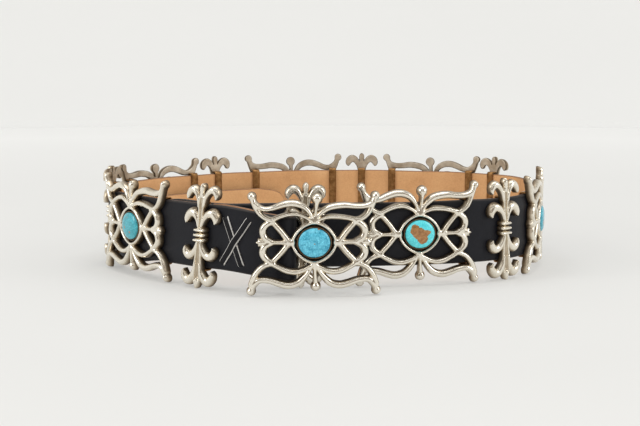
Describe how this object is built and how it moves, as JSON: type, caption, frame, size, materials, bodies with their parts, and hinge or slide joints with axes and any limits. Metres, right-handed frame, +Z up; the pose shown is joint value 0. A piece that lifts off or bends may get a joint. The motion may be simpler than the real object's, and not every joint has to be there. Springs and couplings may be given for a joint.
{
  "type": "concho belt",
  "caption": "Black leather strap belt, closed in a loop and standing on edge, with pierced silver butterfly conchos set with turquoise, and fleur-de-lis castings between them.",
  "frame": {"origin": "middle of the footprint of the whole belt, on the surface that it stands on", "axes": "+Z up across the strap's width, +X to the right of a person who faces the buckle, -Y out of the buckle's face"},
  "size_m": [0.2944, 0.2524, 0.0627],
  "materials": {
    "strap": "smooth black grain side, natural tan flesh side and cut edges",
    "lacing": "black lace with thin pale cut edges",
    "castings": "warm silver casting, polished on its ridges and tarnished brown in its recesses, with copper strap loops behind",
    "stones": "polished turquoise with brown matrix"
  },
  "bodies": {
    "root": {"strap": "strap", "lacing": "lacing", "buckle": "castings", "fleur_1": "castings", "fleur_2": "castings", "fleur_3": "castings", "fleur_4": "castings", "fleur_5": "castings", "fleur_6": "castings", "fleur_7": "castings", "concho_left": "castings", "concho_back_left": "castings", "concho_back": "castings", "concho_back_right": "castings", "concho_right": "castings", "concho_front": "castings", "stone_buckle": "stones", "stone_left": "stones", "stone_back_left": "stones", "stone_back": "stones", "stone_back_right": "stones", "stone_right": "stones", "stone_front": "stones"}
  },
  "joints": []
}
